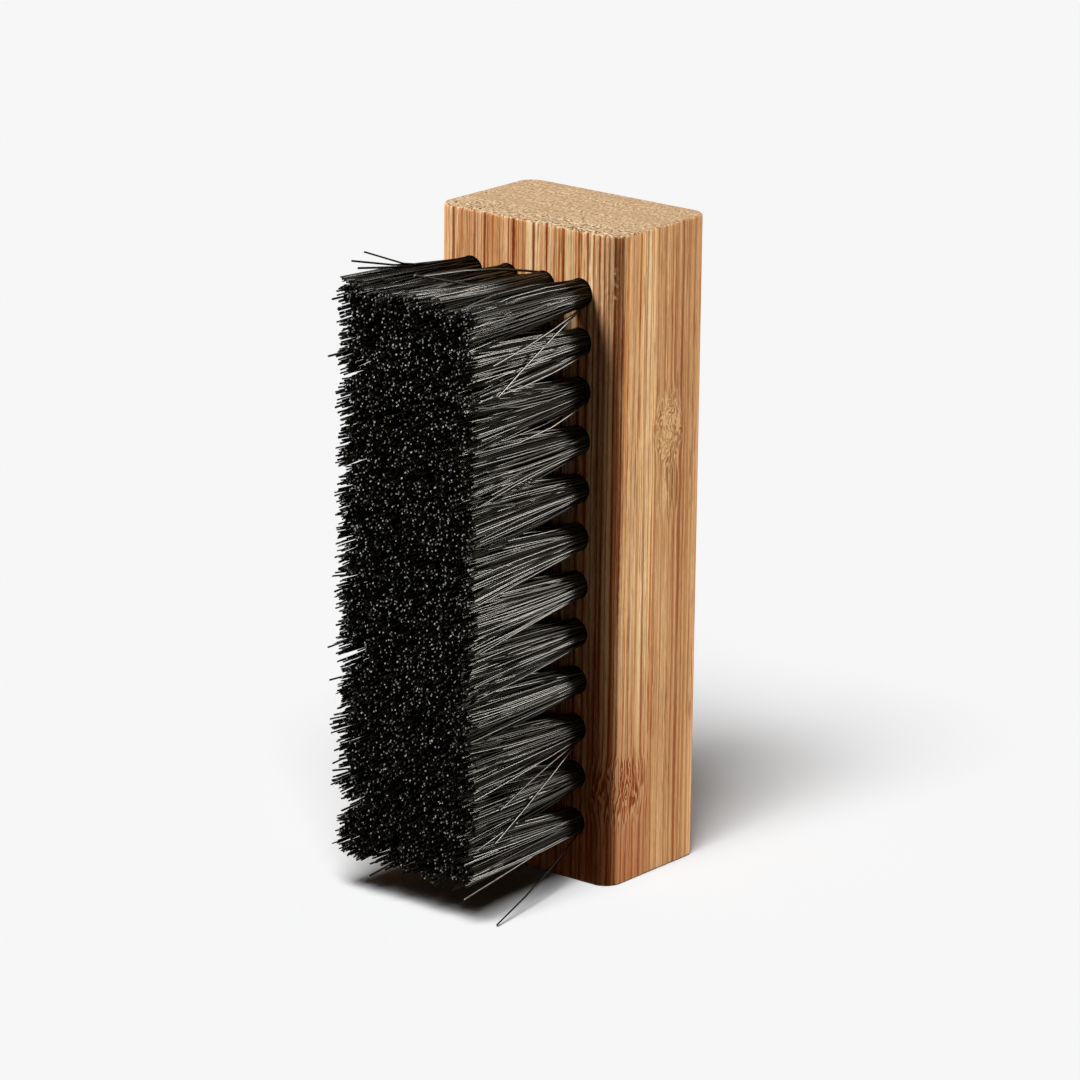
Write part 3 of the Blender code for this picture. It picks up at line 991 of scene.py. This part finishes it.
def drill_for(board):
    """One mesh object with a cylinder for every hole that lies in the board."""
    low, high = corners_mm(board)
    shape = bmesh.new()
    lie_along_y = Matrix.Rotation(math.radians(90), 4, "X")
    middle = BRISTLE_FACE + (HOLE_DEPTH - DRILL_LEAD) / 2
    for row in range(ROWS):
        for column in range(COLUMNS):
            x, z = hole_centre(row, column)
            if low.x < x < high.x:
                bmesh.ops.create_cone(
                    shape,
                    cap_ends=True,
                    segments=DRILL_SIDES,
                    radius1=HOLE_RADIUS * MM,
                    radius2=HOLE_RADIUS * MM,
                    depth=(HOLE_DEPTH + DRILL_LEAD) * MM,
                    matrix=Matrix.Translation(Vector((x, middle, z)) * MM) @ lie_along_y,
                )
    mesh = bpy.data.meshes.new("drill")
    shape.to_mesh(mesh)
    shape.free()
    return add_object("drill", mesh)


print("pitch across", round(COLUMN_PITCH, 3), "mm and up", round(ROW_PITCH, 3), "mm")

# %% Make the boards
SHARP_ANGLE = math.radians(32)


def cut_holes(piece, board):
    """Drills a front board with a Boolean and keeps the result as its mesh."""
    drill = drill_for(board)
    cut = piece.modifiers.new("holes", "BOOLEAN")
    cut.operation = "DIFFERENCE"
    cut.object = drill
    drilled = bpy.data.meshes.new_from_object(piece.evaluated_get(bpy.context.evaluated_depsgraph_get()))
    piece.modifiers.clear()
    piece.data = drilled
    bpy.data.objects.remove(drill)


def make_board(board):
    """One bamboo board, drilled if it is a front one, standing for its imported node."""
    mesh = loft_board(board)
    piece = add_object("bamboo_" + board, mesh)
    mesh.materials.append(bamboo_material(board))
    if board.startswith("front"):
        cut_holes(piece, board)
    piece.data.shade_smooth()
    piece.data.set_sharp_from_angle(angle=SHARP_ANGLE)
    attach(piece, "root")
    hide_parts(board)
    return piece


boards = {board: make_board(board) for board in BOARDS}
for name, piece in boards.items():
    print(name, len(piece.data.vertices), "vertices", len(piece.data.polygons), "faces")

# %% [markdown]
# ## Black filament
# The filament is smooth, stiff and almost black, with a warm grey glint along each strand. Some
# strands are polished and some dull, so every strand keeps a random shine in an attribute of its
# mesh. A second attribute marks the cut end, which is painted a paler grey: a little for the bare
# plastic, most of all as a painted highlight for the glint that cut ends catch. The glint along the
# strands comes from a coat that is rough enough to keep it wide on so thin a strand, and fine noise
# breaks it up, as dust and scratches do.

# %% Filament material
SHINE, CUT_END = "shine", "cut_end"
FILAMENT_DARK, FILAMENT_BROWN = (2, 2, 2), (38, 32, 20)
CUT_DARK, CUT_PALE_GLINT = (13, 14, 15), (172, 174, 174)
FILAMENT_SHEEN = (1.0, 0.95, 0.84, 1.0)
OWN_TONE, TONE_ALONG = 0.8, 0.2
DULL, POLISHED, SCRATCH_LEAST, SCRATCH_MOST = 0.44, 0.3, -0.04, 0.05
COAT_FROM, COAT_FULL, COAT_WEIGHT = 0.25, 0.9, 0.92
COAT_ROUGHNESS, COAT_IOR, BARE_GLOSS = 0.3, 1.62, 0.04
SCRATCH_STRENGTH, SCRATCH_DEPTH = 0.05, 0.02 * MM


def make_strand_tone():
    """The tone of each strand, mixed with noise along it, and fine scratches."""
    inputs = {"Place": (0.0, 0.0, 0.0), "Shine": 0.5}
    tree, given, results = begin_group("strand tone", inputs, ["Tone", "Scratches"])
    along = noise_at(tree, given["Place"], (1.4, 0.25, 1.4))
    tone = plus(tree, times(tree, given["Shine"], OWN_TONE), times(tree, along, TONE_ALONG))
    scratches = noise_at(tree, given["Place"], (14.0, 1.2, 14.0), 3.0, 0.7)
    return end_group(tree, results, {"Tone": tone, "Scratches": scratches})


def filament_material():
    """Near-black gloss with strands that differ a little in colour and polish."""
    material, tree, shader = begin_material("black_filament")
    place = place_in_mm(tree)
    shine = add_node(tree, "ShaderNodeAttribute", attribute_name=SHINE).outputs["Fac"]
    cut = add_node(tree, "ShaderNodeAttribute", attribute_name=CUT_END).outputs["Fac"]
    strand = use_group(tree, make_strand_tone(), {"Place": place, "Shine": shine})
    colour = mix_colours(tree, strand["Tone"], paint(*FILAMENT_DARK), paint(*FILAMENT_BROWN))
    # Painted highlight: shinier strands get paler cut ends, standing for the glint that cut ends catch.
    cut_glint_tone = step_between(tree, shine, 0.4, 1.0)
    cut_end_and_glint_colour = mix_colours(tree, cut_glint_tone, paint(*CUT_DARK), paint(*CUT_PALE_GLINT))
    tree.links.new(mix_colours(tree, cut, colour, cut_end_and_glint_colour), shader.inputs["Base Color"])
    rough = step_between(tree, strand["Scratches"], 0.25, 0.75, SCRATCH_LEAST, SCRATCH_MOST)
    rough = plus(tree, rough, step_between(tree, shine, 0.0, 1.0, DULL, POLISHED))
    tree.links.new(rough, shader.inputs["Roughness"])
    coat = step_between(tree, shine, COAT_FROM, COAT_FULL, 0.0, COAT_WEIGHT)
    coat = times(tree, coat, minus(tree, 1.0, cut))
    tree.links.new(coat, shader.inputs["Coat Weight"])
    shader.inputs["Coat Roughness"].default_value = COAT_ROUGHNESS
    shader.inputs["Coat IOR"].default_value = COAT_IOR
    shader.inputs["Specular IOR Level"].default_value = BARE_GLOSS
    shader.inputs["Specular Tint"].default_value = FILAMENT_SHEEN
    relief = {"Strength": SCRATCH_STRENGTH, "Distance": SCRATCH_DEPTH, "Height": strand["Scratches"]}
    tree.links.new(add_node(tree, "ShaderNodeBump", relief).outputs[0], shader.inputs["Normal"])
    return material


black_filament = filament_material()
print("material", black_filament.name)

# %% [markdown]
# ## The tufts
# A tuft is nearly two hundred filaments that leave their hole as a tight round bundle and spread
# until they fill their share of the brush's face. Strand curves could draw them, but a mesh keeps
# its thickness wherever the model goes, so each filament is a thin four-sided tube, shaded round.
# Its path is the line from its place in the hole to its place at the trimmed face, with a slight
# bow. Small clumps lean together, which leaves the dark gaps that the real face has, and a few
# filaments lean out of line, most of all in the outer tufts. The lower tufts get less shine, a
# painted shade that makes them duller and darker towards the foot.

# %% Paths of the filaments
STRANDS_PER_TUFT = 190
STRAND_RADIUS, RADIUS_SPREAD = 0.172, 0.1
BRISTLE_LENGTH = 32.0
ROOT_DEPTH = 4.0
PACKED_RADIUS = HOLE_RADIUS - 0.22
FACE_FILL, OUTER_FILL = 1.07, 0.82
SQUARENESS, CORNER_SQUARENESS = 0.9, 0.35
CLUMPS, CLUMP_LEAN, RIM_CLUMP_LEAN, OWN_LEAN = 16, 0.42, 0.52, 0.26
WILD_SHARE, RIM_WILD_SHARE, WILD_LEAN = 0.03, 0.1, 1.3
TRIM_SPREAD, SHORT_SHARE, SHORT_BY = 0.2, 0.04, 3.0
BOW, FLARE = 0.4, 0.95
LOWEST_TIP, HIGHEST_TIP = 0.6, 113.4
OUT_STEPS = (0.0, 0.12, 0.35, 0.65, 1.0)
GOLDEN_TURN = math.pi * (3 - math.sqrt(5))
SEED = 77


def square_reach(turn):
    """How much further a square reaches than its inner circle in the given directions."""
    return 1 / np.maximum(np.abs(np.cos(turn)), np.abs(np.sin(turn)))


def filament_ends(row, column, chance):
    """Places of the filaments in the hole and at the trimmed face, as (x, z) in mm, and their reach."""
    index = np.arange(STRANDS_PER_TUFT)
    share = np.sqrt((index + 0.5) / STRANDS_PER_TUFT)
    turn = index * GOLDEN_TURN + chance.uniform(0, 2 * math.pi)
    centre = np.array(hole_centre(row, column))
    around = np.stack([np.cos(turn), np.sin(turn)], axis=1)
    root = centre + around * (share * PACKED_RADIUS)[:, None]
    half = np.array([COLUMN_PITCH, ROW_PITCH]) / 2 * FACE_FILL
    at_rim = np.array([column in (0, COLUMNS - 1), row in (0, ROWS - 1)])
    squareness = CORNER_SQUARENESS if at_rim.all() else SQUARENESS
    fill = (1 + squareness * (square_reach(turn) - 1)) * share
    aim = around * fill[:, None]
    outward = np.sign(aim) == np.array([np.sign(column - (COLUMNS - 1) / 2), np.sign(row - (ROWS - 1) / 2)])
    tip = centre + aim * half * np.where(outward & at_rim, OUTER_FILL, 1.0)
    seeds = chance.integers(0, STRANDS_PER_TUFT, CLUMPS)
    nearest = np.argmin(np.linalg.norm(tip[:, None] - tip[seeds][None], axis=2), axis=1)
    lean = RIM_CLUMP_LEAN if at_rim.any() else CLUMP_LEAN
    tip = tip + chance.normal(0, lean, (CLUMPS, 2))[nearest]
    tip = tip + chance.normal(0, OWN_LEAN, tip.shape)
    wild = chance.random(STRANDS_PER_TUFT) < (RIM_WILD_SHARE if at_rim.any() else WILD_SHARE)
    tip = tip + np.where(wild[:, None], chance.normal(0, WILD_LEAN, tip.shape), 0)
    tip = np.clip(tip, (BLOCK_LOW.x, LOWEST_TIP), (BLOCK_HIGH.x, HIGHEST_TIP))
    reach = BRISTLE_LENGTH + chance.normal(0, TRIM_SPREAD, STRANDS_PER_TUFT)
    cut_short = chance.random(STRANDS_PER_TUFT) < SHORT_SHARE
    reach = reach - np.where(cut_short, chance.uniform(0, SHORT_BY, STRANDS_PER_TUFT), 0)
    return root, tip, reach


def filament_paths(root, tip, reach, chance):
    """Points along each filament as an array of strands, steps and (x, y, z) in mm."""
    bow = chance.normal(0, BOW, root.shape)
    paths = [np.column_stack([root[:, 0], np.full(len(root), BRISTLE_FACE + ROOT_DEPTH), root[:, 1]])]
    for out in OUT_STEPS:
        side = root + (tip - root) * out ** FLARE + bow * (4 * out * (1 - out))
        paths.append(np.column_stack([side[:, 0], BRISTLE_FACE - reach * out, side[:, 1]]))
    return np.stack(paths, axis=1)


first_tip = filament_ends(0, 0, np.random.default_rng(SEED))[1]
tips_low, tips_high = first_tip.min(axis=0).round(1), first_tip.max(axis=0).round(1)
print("first tuft's tips reach from", tips_low, "to", tips_high, "mm")

# %% Tubes along the paths
TUBE_SIDES = 4
CUT_SLANT = 0.4


def keep_for_faces(mesh, name, values):
    """Stores a number for each face of the mesh, for its material to read."""
    kept = mesh.attributes.new(name, "FLOAT", "FACE")
    kept.data.foreach_set("value", np.asarray(values, dtype=np.float32))


def tube_mesh(name, paths, radii, shine, chance):
    """A mesh of closed tubes along the paths, each cut off at its own slant."""
    strands, rings, _ = paths.shape
    ahead = np.gradient(paths, axis=1)
    ahead = ahead / np.linalg.norm(ahead, axis=2, keepdims=True)
    across = np.cross(ahead, np.array([0.0, 0.0, 1.0]))
    across = across / np.linalg.norm(across, axis=2, keepdims=True)
    upward = np.cross(across, ahead)
    turn = np.arange(TUBE_SIDES) / TUBE_SIDES * 2 * math.pi
    first = chance.uniform(0, 2 * math.pi, (strands, 1))
    cosine, sine = np.cos(turn + first)[:, None, :, None], np.sin(turn + first)[:, None, :, None]
    ring = across[:, :, None] * cosine + upward[:, :, None] * sine
    points = paths[:, :, None] + ring * radii[:, None, None, None]
    slant = chance.normal(0, CUT_SLANT, (strands, 2))
    tilt = (cosine[:, 0, :, 0] * slant[:, :1] + sine[:, 0, :, 0] * slant[:, 1:]) * radii[:, None]
    points[:, -1] += ahead[:, -1][:, None] * tilt[:, :, None]
    mesh = bpy.data.meshes.new(name)
    verts = points.reshape(-1, 3) * MM
    around = np.arange(TUBE_SIDES)
    after = (around + 1) % TUBE_SIDES
    base = (np.arange(strands * rings) * TUBE_SIDES).reshape(strands, rings)
    low, high = base[:, :-1, None], base[:, 1:, None]
    sides = np.stack([low + around, low + after, high + after, high + around], axis=-1).reshape(-1, 4)
    tips = base[:, -1, None] + around
    ends = base[:, 0, None] + around[::-1]
    mesh.from_pydata(verts.tolist(), [], sides.tolist() + tips.tolist() + ends.tolist())
    mesh.polygons.foreach_set("use_smooth", [True] * len(sides) + [False] * (2 * strands))
    keep_for_faces(mesh, SHINE, np.concatenate([np.repeat(shine, len(sides) // strands), shine, shine]))
    keep_for_faces(mesh, CUT_END, [0] * len(sides) + [1] * strands + [0] * strands)
    mesh.update()
    ends_of_edges = np.zeros(2 * len(mesh.edges), dtype=np.int32)
    mesh.edges.foreach_get("vertices", ends_of_edges)
    ring_of = ends_of_edges.reshape(-1, 2) // TUBE_SIDES
    at_rim = (ring_of[:, 0] == ring_of[:, 1]) & np.isin(ring_of[:, 0] % rings, (0, rings - 1))
    mesh.attributes.new("sharp_edge", "BOOLEAN", "EDGE").data.foreach_set("value", at_rim)
    return mesh


print("a tube has", TUBE_SIDES * (len(OUT_STEPS) + 1), "points")

# %% [markdown]
# ## Strays
# A few filaments escaped the trim and the eye finds them at once: a fan that curls up at the top
# left, two that cross over the top, crossed ones over the right side, and a long one that hangs
# from the lowest tuft to the floor. They are listed one by one. Each is given as the row and column of
# its tuft, the place of its tip, how far it sags, and its shine.

# %% Stray filaments
STRAYS = [
    (11, 0, (-11.2, -43.6, 118.0), 1.9, 0.0),
    (11, 0, (-13.9, -43.8, 116.0), 1.1, 0.0),
    (11, 0, (-12.9, -43.4, 114.8), 0.6, 0.1),
    (11, 0, (-15.4, -44.0, 112.3), 0.3, 0.0),
    (11, 0, (-14.3, -44.2, 111.8), 0.2, 0.2),
    (11, 0, (-17.9, -44.4, 108.6), 0.0, 0.1),
    (11, 3, (-1.2, -42.0, 115.2), 1.2, 0.7),
    (11, 2, (1.0, -42.0, 115.4), -0.8, 0.6),
    (11, 3, (16.6, -42.0, 102.2), 0.5, 1.0),
    (11, 3, (17.0, -41.2, 96.6), -0.4, 0.9),
    (8, 3, (18.2, -44.0, 80.0), -0.3, 0.9),
    (2, 3, (18.0, -42.2, 15.9), 0.4, 1.0),
    (2, 3, (17.5, -40.2, 21.5), -0.4, 0.6),
    (0, 3, (17.8, -41.1, 0.4), 0.8, 0.1),
]


def stray_paths(row, column):
    """Paths of the strays that leave one tuft, in the same form as the other filaments."""
    centre = hole_centre(row, column)
    found = []
    for stray_row, stray_column, tip, sag, _ in STRAYS:
        if (stray_row, stray_column) != (row, column):
            continue
        tip = np.array(tip)
        root = np.array([centre[0], BRISTLE_FACE, centre[1]])
        toward = np.array([tip[0] - root[0], 0.0, tip[2] - root[2]])
        root = root + toward / np.linalg.norm(toward) * PACKED_RADIUS
        points = [root + np.array([0.0, ROOT_DEPTH, 0.0])]
        for out in OUT_STEPS:
            point = root + (tip - root) * out
            point[2] -= sag * 4 * out * (1 - out)
            points.append(point)
        found.append(points)
    return np.array(found).reshape(-1, len(OUT_STEPS) + 1, 3)


print(len(STRAYS), "strays")

# %% Make the tufts
STRAY_THICKER = 1.2
# Shine scale for the lowest and the highest row: painted shade, duller and darker towards the foot.
PAINTED_FALLOFF_AT_FOOT, PAINTED_FALLOFF_AT_TOP = 0.82, 1.06


def make_tuft(node):
    """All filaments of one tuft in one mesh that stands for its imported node."""
    row, column = (int(part[3:]) - 1 for part in node.split("_")[1:])
    chance = np.random.default_rng(SEED + 100 * row + column)
    root, tip, reach = filament_ends(row, column, chance)
    paths = filament_paths(root, tip, reach, chance)
    strays = stray_paths(row, column)
    paths = np.concatenate([paths, strays])
    radii = STRAND_RADIUS * (1 + chance.normal(0, RADIUS_SPREAD, len(paths)))
    radii[len(root):] *= STRAY_THICKER
    # Painted shade: each strand's shine, and with it its tone and gloss, falls towards the foot.
    painted_falloff = PAINTED_FALLOFF_AT_FOOT + (PAINTED_FALLOFF_AT_TOP - PAINTED_FALLOFF_AT_FOOT) * row / (ROWS - 1)
    stray_shine = [stray[-1] for stray in STRAYS if stray[:2] == (row, column)]
    shine = np.append(chance.random(len(root)) * painted_falloff, stray_shine)
    mesh = tube_mesh("bristles_" + node, paths, radii, shine, chance)
    mesh.materials.append(black_filament)
    piece = add_object("bristles_" + node, mesh)
    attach(piece, "root")
    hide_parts(node)
    return piece


tufts = [make_tuft(node) for node in TUFTS]
print(len(tufts), "tufts with", sum(len(piece.data.polygons) for piece in tufts), "faces")
